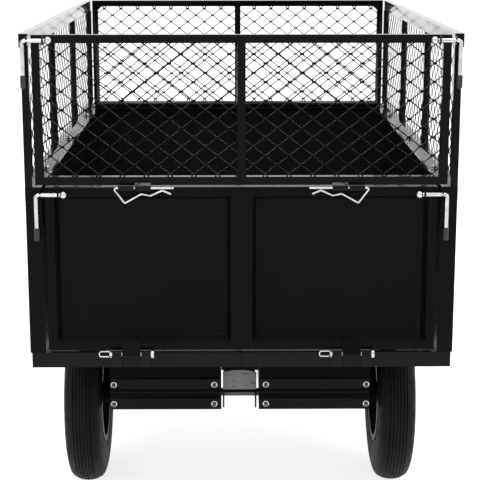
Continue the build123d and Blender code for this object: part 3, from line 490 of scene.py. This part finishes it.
def tailgate():
    """The tailgate: a panel with two deep pressed recesses, a rib between them, soft edges."""
    low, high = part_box("tailgate_panel")
    border, half_rib = 0.017, 0.02
    panel = bar("pressed_tailgate", low, high)
    edit(panel, "ALL")
    cuts = [((x, 0, 0), (1, 0, 0)) for x in (low.x + border, -half_rib, half_rib, high.x - border)]
    cuts += [((0, 0, z), (0, 0, 1)) for z in (low.z + border, high.z - border)]
    for point, across in cuts:
        bpy.ops.mesh.select_all(action="SELECT")
        bpy.ops.mesh.bisect(plane_co=point, plane_no=across)
    done_editing()

    def recess(middle, normal):
        wide = half_rib < abs(middle.x) < high.x - border
        return normal.y < -0.9 and wide and low.z + border < middle.z < high.z - border

    pick_faces(panel, recess)
    bpy.ops.mesh.inset(thickness=0.0075, depth=-0.024, use_individual=True)
    done_editing()
    soft_edges(panel, 0.0022, 3, 30)
    finished(panel, "tailgate", BLACK)
    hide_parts("tailgate_panel")


def carrier_plates():
    """The carriers' cross plates: two broad pressed beads with sloping sides, and a thin one between."""
    beads = ((0.001, 0.03, 0.004, 0.003), (0.0365, 0.0425, 0.0015, 0.0015), (0.047, 0.074, 0.004, 0.003))
    for place, way in (("rear", -1), ("front", 1)):
        for side_name in ("left", "right"):
            node = f"cross_plate_{place}_{side_name}"
            low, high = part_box(node)
            flat_low, flat_high = low.copy(), high.copy()
            if way < 0:
                flat_low.y += 0.003
            else:
                flat_high.y -= 0.003
            face = flat_low.y if way < 0 else flat_high.y
            plate = bar(f"pressed_{node}", flat_low, flat_high)
            cuts = []
            for bottom, top, slope, _ in beads:
                cuts += [((0, 0, low.z + z), (0, 0, 1)) for z in (bottom, bottom + slope, top - slope, top)]
            edit(plate, "ALL")
            for point, across in cuts:
                bpy.ops.mesh.select_all(action="SELECT")
                bpy.ops.mesh.bisect(plane_co=point, plane_no=across)
            done_editing()
            for bottom, top, slope, proud in beads:

                def crest(spot, bottom=low.z + bottom + slope, top=low.z + top - slope):
                    return bottom - 1e-5 < spot.z < top + 1e-5 and abs(spot.y - face) < 1e-5

                pick_points(plate, crest)
                bpy.ops.transform.translate(value=(0, way * proud, 0))
                done_editing()
            soft_edges(plate, 0.0006, 2, 25)
            # The plate takes the darker groove copy and its crests the lighter bead copy: painted shade in the
            # grooves, painted highlight on the beads.
            finished(plate, "bed", GROOVE_BLACK)
            plate.data.materials.append(BEAD_BLACK)
            crests = [(low.z + bottom, low.z + top) for bottom, top, _, _ in beads]
            for face_part in plate.data.polygons:
                if any(bottom < face_part.center.z < top for bottom, top in crests):
                    face_part.material_index = 1
            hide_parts(node)


def closing_plate():
    """The plate that closes the gap between the rear cross plates, above the drawbar's pivot."""
    inner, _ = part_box("cross_plate_rear_right")
    floor_low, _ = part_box("floor_left")
    half = inner.x - 0.0004
    height = 0.1285
    plate = bar(
        "closing_plate",
        (-half, inner.y + 0.001, floor_low.z - height),
        (half, inner.y + 0.003, floor_low.z),
    )
    pick_faces(plate, lambda middle, normal: normal.y < -0.9)
    bpy.ops.mesh.inset(thickness=0.006, depth=-0.0008)
    done_editing()
    soft_edges(plate, 0.0006, 2, 25)
    finished(plate, "bed", GROOVE_BLACK)


def pivot_lip():
    """The folded lip of the pivot bracket below its end plate."""
    low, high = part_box("pivot_end_plate")
    lip = bar("pivot_bracket_lip", (low.x, low.y - 0.0018, low.z - 0.001), (high.x, low.y, low.z + 0.0034))
    pick_faces(lip, lambda middle, normal: normal.y < -0.9)
    bpy.ops.mesh.inset(thickness=0.0012, depth=0.0)
    done_editing()
    soft_edges(lip, 0.0006, 2, 30)
    finished(lip, "chassis", GROOVE_BLACK)


def front_mesh():
    """The front mesh frame: the gate's frame let out to the front's width and height, small corner gussets."""
    tube, gusset, half_sheet, reach_in = END_FRAME["tube"], 0.01, 0.001, 0.0003
    pattern = frame["nodes"]["mesh_gate_panel"]
    old_low, old_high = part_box("mesh_gate_panel")
    low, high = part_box("front_mesh_panel")
    middle = (low + high) / 2
    panel = bpy.data.objects.new("front_mesh_frame", pattern.data.copy())
    panel.matrix_world = pattern.matrix_world
    bpy.context.scene.collection.objects.link(panel)
    take(panel)
    bpy.ops.object.transform_apply(location=True, rotation=True, scale=True)
    edit(panel, "ALL")
    bpy.ops.mesh.remove_doubles(threshold=1e-6)
    bpy.ops.mesh.select_all(action="SELECT")
    bpy.ops.transform.translate(value=middle - (old_low + old_high) / 2)
    done_editing()
    for axis in (0, 2):
        half = (old_high - old_low)[axis] / 2
        grow = (high - low)[axis] / 2 - half
        for way in (-1, 1):
            pick_points(panel, lambda spot: way * (spot[axis] - middle[axis]) > half - tube - reach_in)
            bpy.ops.transform.translate(value=[way * grow if i == axis else 0 for i in range(3)])
            done_editing()
    corners = [panel]
    for way in (-1, 1):
        x, z = middle.x + way * (high.x - middle.x - tube), high.z - tube
        tip = x - way * gusset
        plate = bar(
            "corner_gusset",
            (min(x, tip), middle.y - half_sheet, z - gusset),
            (max(x, tip), middle.y + half_sheet, z),
        )
        edit(plate, "ALL")
        slope = (-way, 0, -1)
        bpy.ops.mesh.bisect(plane_co=(tip, middle.y, z), plane_no=slope, clear_outer=True, use_fill=True)
        done_editing()
        corners.append(plate)
    panel = joined("front_mesh_frame", corners)
    finished(panel, "bed", MESH_BLACK)
    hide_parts("front_mesh_panel")


# ---------------------------------------------------------------- wheels

RIB_PITCH = 0.0074
GROOVE = 0.0019
GROOVE_DEPTH = 0.0022
TYRE_BEAD_RADIUS = 0.102
TYRE_BORE_RADIUS = 0.1028
HUB_NUT_CIRCLE = 0.052
HUB_FACE = 0.0015
VALVE_REACH = 0.083


def tyre_outline(half_width, bead_radius, radius):
    """Half of a ribbed tyre's section: crown with grooves, shoulder, sidewall and bead."""
    side = radius - bead_radius

    def crown(x):
        return radius - 0.055 * side * (x / (0.6 * half_width)) ** 2

    points = []
    ribs = int(0.66 * half_width / RIB_PITCH)
    for rib in range(ribs):
        middle = RIB_PITCH * (rib + 0.5)
        low, high = middle - GROOVE / 2, middle + GROOVE / 2
        points += [
            (low, crown(low)),
            (low + 0.0003, crown(low) - GROOVE_DEPTH),
            (high - 0.0003, crown(high) - GROOVE_DEPTH),
            (high, crown(high)),
        ]
    for share, rise in ((0.74, 0.905), (0.84, 0.85), (0.915, 0.77), (0.965, 0.68)):
        points.append((share * half_width, bead_radius + rise * side))
    points.append((0.995 * half_width, bead_radius + 0.58 * side))
    ring = 0.0008
    upper_ring = ((0.5, 0), (0.485, ring), (0.455, ring), (0.44, 0))
    lower_ring = ((0.3, 0), (0.285, ring), (0.26, ring), (0.245, 0))
    for rise, lift in upper_ring + lower_ring:
        bulge = 1 - 0.9 * (rise - 0.47) ** 2 * (1 if rise > 0.3 else 1.6)
        points.append((bulge * half_width - 0.0008 + lift, bead_radius + rise * side))
    points += [(0.84 * half_width, bead_radius + 0.13 * side), (0.79 * half_width, bead_radius + 0.06 * side)]
    points += [(0.76 * half_width, bead_radius + 0.003)]
    return points


def tyre(side_name):
    """One ribbed tyre, turned from its section."""
    low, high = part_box(f"tyre_{side_name}")
    middle = (low + high) / 2
    radius = (high.z - low.z) / 2
    half_width = (high.x - low.x) / 2 - 0.0012
    outline = tyre_outline(half_width, TYRE_BEAD_RADIUS, radius - 0.0002)
    outline += [(0.6 * half_width, TYRE_BORE_RADIUS), (0.0, TYRE_BORE_RADIUS)]
    outline += [(-x, r) for x, r in reversed(outline[:-1])]
    piece = turned(f"ribbed_tyre_{side_name}", outline, middle, steps=112)
    shade(piece, 50)
    finished(piece, f"wheel_{side_name}", TYRE)
    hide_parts(f"tyre_{side_name}")


# ---------------------------------------------------------------- fasteners


def washer(radius, thick=WASHER_THICKNESS):
    """A plain washer lying on the ground plane."""
    ring = disc("washer_pattern", (0, 0, thick / 2), radius, thick, sides=24)
    soft_edges(ring, 0.0004)
    return ring


def nut_on_stud(across=0.0052, thick=0.0046, proud=0.002):
    """A chamfered nut on its washer, with the end of its stud."""
    nut = disc("nut", (0, 0, WASHER_THICKNESS + thick / 2), across, thick, sides=6)
    pick_faces(nut, lambda middle, normal: normal.z > 0.9)
    bpy.ops.mesh.inset(thickness=0.0007)
    bpy.ops.transform.translate(value=(0, 0, 0.0004))
    done_editing()
    soft_edges(nut, 0.0004, 1)
    length = WASHER_THICKNESS + thick + proud
    stud = disc("stud", (0, 0, length / 2), 0.0034, length, sides=16)
    pick_faces(stud, lambda middle, normal: normal.z > 0.9)
    bpy.ops.mesh.inset(thickness=0.0007)
    bpy.ops.transform.translate(value=(0, 0, 0.0005))
    done_editing()
    shade(stud)
    return joined("nut_pattern", [nut, stud])


def round_head(radius=0.0055, height=0.0021):
    """A low domed bolt or rivet head."""
    head = disc("round_head_pattern", (0, 0, height / 2), radius, height, sides=20)
    pick_faces(head, lambda middle, normal: normal.z > 0.9)
    bpy.ops.mesh.inset(thickness=0.28 * radius)
    bpy.ops.transform.translate(value=(0, 0, 0.22 * height))
    bpy.ops.mesh.inset(thickness=0.3 * radius)
    bpy.ops.transform.translate(value=(0, 0, 0.08 * height))
    done_editing()
    soft_edges(head, 0.0005, 1)
    return head


def fasteners():
    """Nuts on the carriers, coach bolts round the bed and nuts on the mesh frames."""
    rear, front = BED_REAR, BED_FRONT
    nut = nut_on_stud()
    ring = washer(0.0068)
    head = round_head()
    low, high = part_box("cross_plate_rear_right")
    edge_in, edge_out = low.x + 0.0155, high.x - 0.0085
    rows = (low.z + 0.014, low.z + 0.058)
    face = low.y
    rear_places = both_sides([(x, face, z) for x in (edge_in, edge_out) for z in rows])
    front_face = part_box("cross_plate_front_right")[1].y
    front_places = both_sides([(x, front_face, z) for x in (edge_in, edge_out) for z in rows])
    places = [(p, (0, -1, 0)) for p in rear_places] + [(p, (0, 1, 0)) for p in front_places]
    finished(copies(nut, "carrier_nuts", places), "bed", DARK_ZINC)
    finished(copies(ring, "carrier_washers", places), "bed", ROD_ZINC)

    # Coach bolts along the side and front panels' lower edges, and at the corners.
    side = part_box("side_panel_right")[1].x
    floor_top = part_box("floor_right")[1].z
    wall_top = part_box("side_panel_right")[1].z
    along = [rear + 0.06 + i * 0.216 for i in range(6)]
    side_places = []
    for sign in (-1, 1):
        side_places += [((sign * side, y, floor_top + 0.014), (sign, 0, 0)) for y in along]
        side_places += [((sign * side, front - 0.018, floor_top + h), (sign, 0, 0)) for h in (0.09, 0.17, 0.25)]
        inset = sign * (side - 0.011)
        side_places += [((inset, front - 0.0022, floor_top + h), (0, 1, 0)) for h in (0.06, 0.15, 0.24)]
        side_places += [((sign * x, front - 0.0022, floor_top + 0.014), (0, 1, 0)) for x in (0.1, 0.24)]
    finished(copies(head, "panel_bolts", side_places), "bed", ZINC)

    # Nuts that hold the mesh frames down on the flanges, seen from inside the bed.
    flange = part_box("side_panel_right")[0].x + 0.014
    nuts = []
    for sign in (-1, 1):
        nuts += [((sign * flange, y, wall_top), (0, 0, 1)) for y in (rear + 0.2, rear + 0.6, rear + 1.0)]
    small = nut_on_stud(0.0055, 0.004, 0.002)
    finished(copies(small, "mesh_frame_nuts", nuts), "bed", ZINC)
    corner = [((sign * (side - 0.014), front - 0.0165, wall_top + 0.004), (0, -1, 0)) for sign in (-1, 1)]
    finished(copies(head, "corner_bolts", corner), "bed", ROD_ZINC)
    for pattern in (nut, ring, head, small):
        throw_away(pattern)


# ---------------------------------------------------------------- mesh knots


DIAMOND_WIDTH, DIAMOND_HEIGHT = 0.044, 0.034
KNOT_POINTS = 12


def knot_field(name, body, middle, run, length, height, kind):
    """The twists where the strands of a diamond mesh cross, over every bay of a frame."""
    pitch, rise = DIAMOND_WIDTH, DIAMOND_HEIGHT
    tube, bays = kind["tube"], kind["bays"]
    columns, rows = int(length / pitch / 2) + 1, int(height / rise / 2) + 1
    let_go()
    bpy.ops.mesh.primitive_ico_sphere_add(subdivisions=1, radius=1)
    field = start(name)
    edit(field, "ALL")
    bpy.ops.transform.resize(value=(0.0052, 0.0014, 0.0024))
    bpy.ops.transform.translate(value=(-columns * pitch, 0, -rows * rise))
    done_editing()
    take(field)
    for way, step, count in ((0, pitch, 2 * columns + 1), (2, rise, 2 * rows + 1)):
        repeat = field.modifiers.new("repeat", "ARRAY")
        repeat.use_relative_offset = False
        repeat.use_constant_offset = True
        repeat.constant_offset_displace = [step if axis == way else 0 for axis in range(3)]
        repeat.count = count
        bpy.ops.object.modifier_apply(modifier=repeat.name)
    edit(field, "ALL")
    bpy.ops.transform.translate(value=(pitch / 2, 0, 0))
    bpy.ops.mesh.duplicate_move(TRANSFORM_OT_translate={"value": (-pitch / 2, 0, rise / 2)})
    done_editing()
    bay = (length - tube) / bays

    def outside(co):
        nearest = round((co.x + length / 2 - tube / 2) / bay)
        from_post = abs(co.x + length / 2 - tube / 2 - nearest * bay)
        return abs(co.x) > length / 2 or from_post < tube / 2 + 0.005 or abs(co.z) > height / 2 - tube - 0.003

    # Whole knots only: a knot goes if any of its points is in a tube.
    gone = set()
    for number in range(0, len(field.data.vertices), KNOT_POINTS):
        knot = range(number, number + KNOT_POINTS)
        if any(outside(field.data.vertices[i].co) for i in knot):
            gone.update(knot)
    edit(field)
    done_editing()
    for point in field.data.vertices:
        point.select = point.index in gone
    bpy.ops.object.mode_set(mode="EDIT")
    bpy.ops.mesh.delete(type="VERT")
    bpy.ops.mesh.select_all(action="SELECT")
    if run == "Y":
        bpy.ops.transform.rotate(value=math.pi / 2, orient_axis="Z", center_override=(0, 0, 0))
    bpy.ops.transform.translate(value=middle)
    done_editing()
    shade(field, 60)
    return finished(field, body, BLACK)


def side_tube_middle():
    """How far out the middle of a side frame's tubes is, half a tube inside the wall's skin."""
    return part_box("side_panel_right")[1].x - 0.007


def mesh_frames():
    """Each mesh frame's name, body, middle, direction, length, height and kind."""
    frames = []
    for node, body in (("mesh_gate_panel", "mesh_gate"), ("front_mesh_panel", "bed")):
        low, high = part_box(node)
        frames.append((node, body, (low + high) / 2, "X", high.x - low.x, high.z - low.z, END_FRAME))
    for side_name, sign in (("left", -1), ("right", 1)):
        node = f"side_mesh_panel_{side_name}"
        low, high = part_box(node)
        middle = (low + high) / 2
        middle.x = sign * side_tube_middle()
        frames.append((node, "bed", middle, "Y", high.y - low.y, high.z - low.z, SIDE_FRAME))
    return frames


def mesh_knots():
    """The knots of all four mesh frames."""
    names = ("gate_mesh_knots", "front_mesh_knots", "side_mesh_knots_left", "side_mesh_knots_right")
    for name, (_, body, middle, run, length, height, kind) in zip(names, mesh_frames()):
        knot_field(name, body, middle, run, length, height, kind)


# ---------------------------------------------------------------- small parts


def latch_grips():
    """Rubber grips on the four latch handles: a tapered sleeve with a rounded end."""
    for gate in ("tailgate", "mesh_gate"):
        low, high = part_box(f"{gate}_latch_grips")
        radius = (high.y - low.y) / 2
        length = high.z - low.z
        shape = [(0.0, 0.0002), (0.0004, 0.6), (0.0018, 0.86), (0.004, 1.0)]
        outline = [(along, max(share * radius, 0.0002)) for along, share in shape]
        for ring in range(3):
            at = 0.3 * length + ring * 0.17 * length
            outline += [(at - 0.0009, radius), (at, 0.93 * radius), (at + 0.0009, radius)]
        outline += [(length - 0.002, 0.96 * radius), (length - 0.0004, 0.9 * radius), (length, 0.8 * radius)]
        outline += [(length, 0.0042), (0.004, 0.0042), (0.004, 0.0002)]
        grips = []
        for sign in (-1, 1):
            place = (sign * (high.x - radius), (low.y + high.y) / 2, low.z)
            grip = turned("grip", outline, place, axis="Z", steps=24)
            shade(grip, 45)
            grips.append(grip)
        piece = joined(f"{gate}_grips", grips)
        finished(piece, gate, GRIP)
        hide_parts(f"{gate}_latch_grips")


def weld_bead(pattern_length, radius):
    """A short rippled bead lying along +Z at the origin."""
    rings = 7
    bead = disc("bead_pattern", (0, 0, 0), radius, pattern_length, sides=8)
    edit(bead, "ALL")
    for ring in range(1, rings):
        at = -pattern_length / 2 + pattern_length * ring / rings
        bpy.ops.mesh.select_all(action="SELECT")
        bpy.ops.mesh.bisect(plane_co=(0, 0, at), plane_no=(0, 0, 1))
    done_editing()
    for point in bead.data.vertices:
        along = point.co.z / pattern_length + 0.5
        ripple = 1 + 0.16 * math.cos(2 * math.pi * rings / 2 * along)
        taper = math.sqrt(max(0.05, 1 - (2 * along - 1) ** 4))
        point.co.x *= ripple * taper
        point.co.y *= ripple * taper
    shade(bead, 80)
    return bead


def frame_corners(middle, run, length, height, kind):
    """The inner corners of a frame's bays, on both faces, with the way each bead lies."""
    tube, depth, bays = kind["tube"], kind["depth"], kind["bays"]
    places = []
    bay = (length - tube) / bays
    for number in range(bays):
        left = -length / 2 + number * bay + tube
        right = left + bay - tube
        for x in (left, right):
            for z in (-height / 2 + tube, height / 2 - tube):
                for out in (-1, 1):
                    spot = Vector((x, out * (depth / 2 - 0.004), z))
                    if run == "Y":
                        spot = Vector((spot.y, spot.x, spot.z))
                    places.append((Vector(middle) + spot, (0, 1, 0) if run == "X" else (1, 0, 0)))
    return places


def frame_welds():
    """Beads in the inner corners of the mesh frames and at the feet of their posts."""
    bead = weld_bead(0.006, 0.0014)
    places = {"mesh_gate": [], "bed": []}
    for _, body, *shape in mesh_frames():
        places[body] += frame_corners(*shape)
    finished(copies(bead, "gate_frame_welds", places["mesh_gate"]), "mesh_gate", WELD)
    finished(copies(bead, "bed_frame_welds", places["bed"]), "bed", WELD)
    throw_away(bead)


def wheel_details():
    """Nuts round each hub, and a valve stem."""
    nut = nut_on_stud(0.0066, 0.0055, 0.003)
    for side_name, sign in (("left", -1), ("right", 1)):
        rim_low, rim_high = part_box(f"rim_{side_name}")
        middle = (rim_low + rim_high) / 2
        tyre_low, tyre_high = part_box(f"tyre_{side_name}")
        hub = Vector(((tyre_low.x + tyre_high.x) / 2, middle.y, middle.z))
        places = []
        for number in range(4):
            turn = math.pi / 4 + number * math.pi / 2
            out, up = HUB_NUT_CIRCLE * math.cos(turn), HUB_NUT_CIRCLE * math.sin(turn)
            places.append((hub + Vector((sign * HUB_FACE, out, up)), (sign, 0, 0)))
        finished(copies(nut, f"wheel_nuts_{side_name}", places), f"wheel_{side_name}", ZINC)
        stem = turned(
            f"valve_{side_name}",
            [(0.0, 0.0002), (0.0, 0.0052), (0.006, 0.0048), (0.012, 0.0034), (0.026, 0.0032), (0.026, 0.0040),
             (0.034, 0.0040), (0.036, 0.0030), (0.036, 0.0002)],
            (0, 0, 0),
            steps=16,
        )
        edit(stem, "ALL")
        if sign < 0:
            bpy.ops.transform.resize(value=(-1, 1, 1), center_override=(0, 0, 0))
            bpy.ops.mesh.normals_make_consistent(inside=False)
        bpy.ops.transform.translate(value=(hub.x + sign * HUB_FACE, hub.y + VALVE_REACH, hub.z))
        done_editing()
        shade(stem)
        finished(stem, f"wheel_{side_name}", PAD)
    throw_away(nut)


# ---------------------------------------------------------------- studio


def studio():
    """A white floor and soft light from all round."""
    let_go()
    bpy.ops.mesh.primitive_plane_add(size=60, location=(0, 0, 0))
    ground = start("studio_floor")
    paper = bpy.data.materials.new("white_paper")
    paper.use_nodes = True
    tree = paper.node_tree
    tree.nodes.clear()
    out = tree.nodes.new("ShaderNodeOutputMaterial")
    surface = tree.nodes.new("ShaderNodeBsdfDiffuse")
    surface.inputs["Color"].default_value = (0.86, 0.86, 0.86, 1)
    glow = tree.nodes.new("ShaderNodeEmission")
    glow.inputs["Color"].default_value = (1, 1, 1, 1)
    share = tree.nodes.new("ShaderNodeMath")
    share.operation = "MULTIPLY"
    share.inputs[1].default_value = 0.75
    tree.links.new(seen_directly(tree), share.inputs[0])
    tree.links.new(share.outputs[0], glow.inputs["Strength"])
    mix = tree.nodes.new("ShaderNodeAddShader")
    tree.links.new(surface.outputs[0], mix.inputs[0])
    tree.links.new(glow.outputs[0], mix.inputs[1])
    tree.links.new(mix.outputs[0], out.inputs["Surface"])
    ground.data.materials.append(paper)

    world = bpy.data.worlds.new("studio")
    bpy.context.scene.world = world
    world.use_nodes = True
    tree = world.node_tree
    tree.nodes.clear()
    out = tree.nodes.new("ShaderNodeOutputWorld")
    soft = tree.nodes.new("ShaderNodeBackground")
    soft.inputs["Strength"].default_value = 0.62
    white = tree.nodes.new("ShaderNodeBackground")
    white.inputs["Color"].default_value = (1, 1, 1, 1)
    white.inputs["Strength"].default_value = 1.0
    soft.inputs["Color"].default_value = (1, 1, 1, 1)
    mix = tree.nodes.new("ShaderNodeMixShader")
    tree.links.new(seen_directly(tree), mix.inputs["Fac"])
    tree.links.new(soft.outputs[0], mix.inputs[1])
    tree.links.new(white.outputs[0], mix.inputs[2])
    tree.links.new(mix.outputs[0], out.inputs["Surface"])

    softbox("top_light", (0, -0.3, 3.6), (0, -0.3, 0), 3.4, 75)
    softbox("rear_light", (-1.6, -4.6, 2.6), (0, -0.8, 0.6), 2.2, 32)
    softbox("side_light", (3.6, -1.2, 2.2), (0, -0.2, 0.6), 2.0, 24)


def seen_directly(tree):
    """1 for what the camera, a mirror or glass sees, and 0 for light that only bounces."""
    path = tree.nodes.new("ShaderNodeLightPath")
    total = None
    for name in ("Is Camera Ray", "Is Glossy Ray", "Is Transmission Ray"):
        if total is None:
            total = path.outputs[name]
            continue
        either = tree.nodes.new("ShaderNodeMath")
        either.operation = "MAXIMUM"
        tree.links.new(total, either.inputs[0])
        tree.links.new(path.outputs[name], either.inputs[1])
        total = either.outputs[0]
    return total


def softbox(name, place, target, size, power):
    lamp = bpy.data.lights.new(name, "AREA")
    lamp.shape = "SQUARE"
    lamp.size = size
    lamp.energy = power
    holder = bpy.data.objects.new(name, lamp)
    holder.location = place
    holder.rotation_euler = (Vector(target) - Vector(place)).to_track_quat("-Z", "Y").to_euler()
    bpy.context.scene.collection.objects.link(holder)


def camera():
    """A long lens behind the tailgate, a little above the mesh gate's top rail."""
    eye = bpy.data.cameras.new("camera")
    eye.sensor_width = 36
    eye.lens = 104.69
    holder = bpy.data.objects.new("camera", eye)
    bpy.context.scene.collection.objects.link(holder)
    holder.location = (-0.0224, -3.4116, 1.2469)
    pitch, yaw, roll = math.radians(12.579), math.radians(0.439), math.radians(0.02)
    holder.rotation_mode = "QUATERNION"
    turn, tilt = Matrix.Rotation(-yaw, 3, "Z"), Matrix.Rotation(math.pi / 2 - pitch, 3, "X")
    look = turn @ tilt @ Matrix.Rotation(-roll, 3, "Z")
    holder.rotation_quaternion = look.to_quaternion()
    bpy.context.scene.camera = holder
    bpy.context.scene.view_settings.view_transform = "Standard"


# ---------------------------------------------------------------- putting it together

camera()
studio()
paint_frame()
tailgate()
carrier_plates()
closing_plate()
pivot_lip()
front_mesh()
for side_name in ("left", "right"):
    tyre(side_name)
latch_grips()
fasteners()
wheel_details()
mesh_knots()
frame_welds()
let_go()
